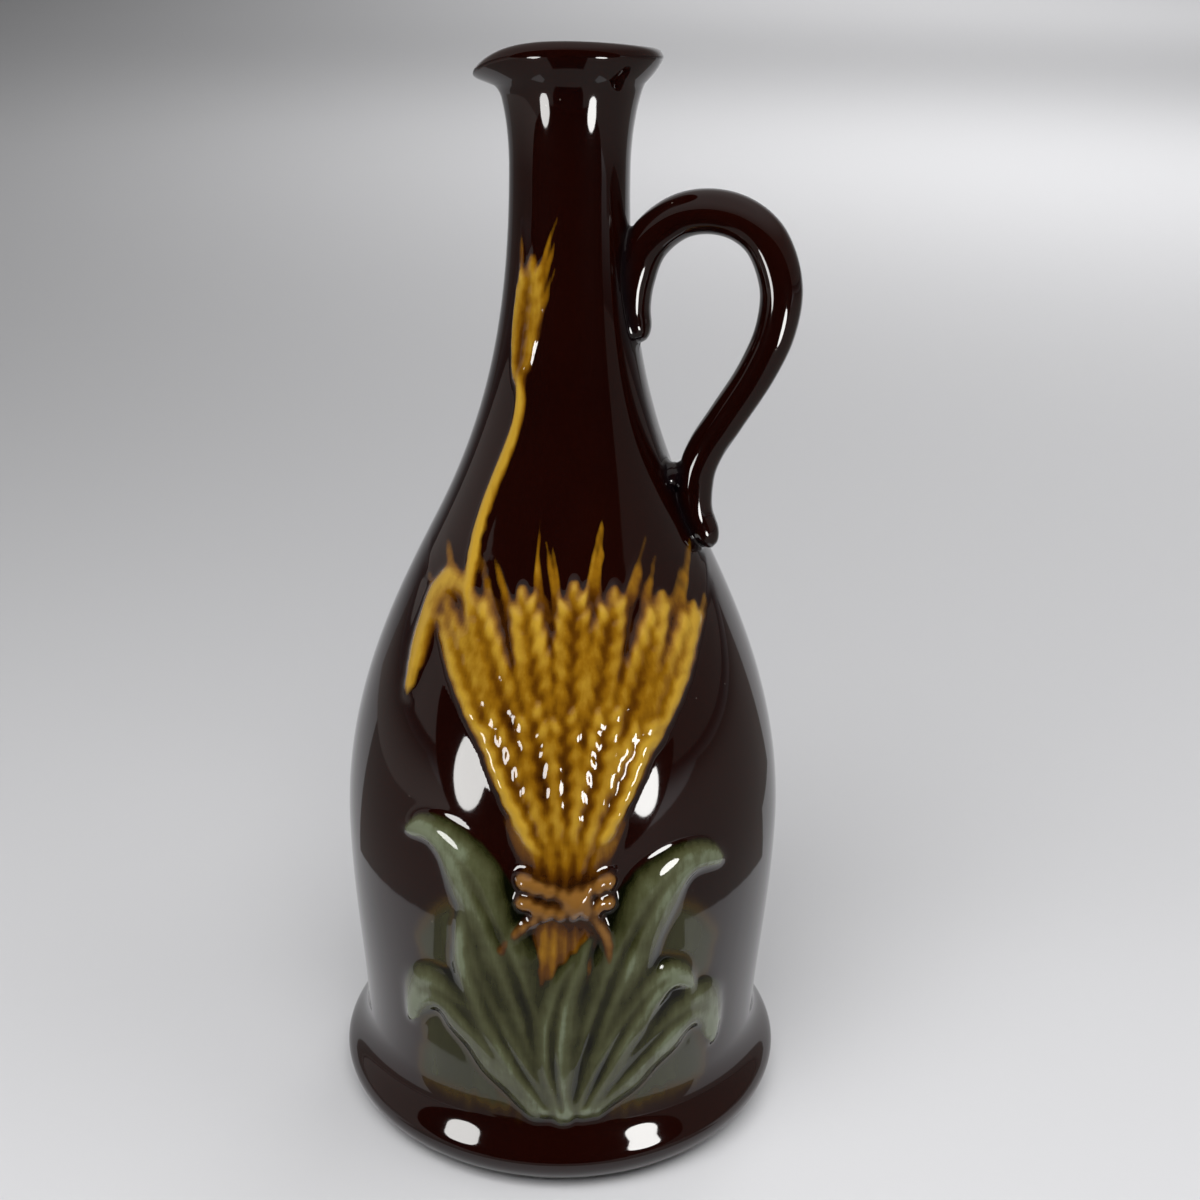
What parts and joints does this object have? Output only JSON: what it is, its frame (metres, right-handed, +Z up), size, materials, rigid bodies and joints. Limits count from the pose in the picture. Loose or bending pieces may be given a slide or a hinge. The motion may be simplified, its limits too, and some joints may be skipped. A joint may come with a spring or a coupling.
{
  "type": "whisky jug",
  "caption": "Tall bell-shaped glazed ceramic whisky jug, hollow, with a rolled foot, a slender neck, a flared mouth with a pouring lip, a loop handle and a barley sheaf in relief.",
  "frame": {"origin": "on the axis of the body, on the surface that the jug stands on", "axes": "+Z up along the body's axis, +X towards the handle, -X towards the pouring lip, -Y towards the relief"},
  "size_m": [0.1141, 0.1143, 0.2679],
  "materials": {
    "brown_glaze": "high gloss treacle-brown glaze with a gold, amber and sage green relief under it"
  },
  "bodies": {
    "root": {"jug": "brown_glaze"}
  },
  "joints": []
}
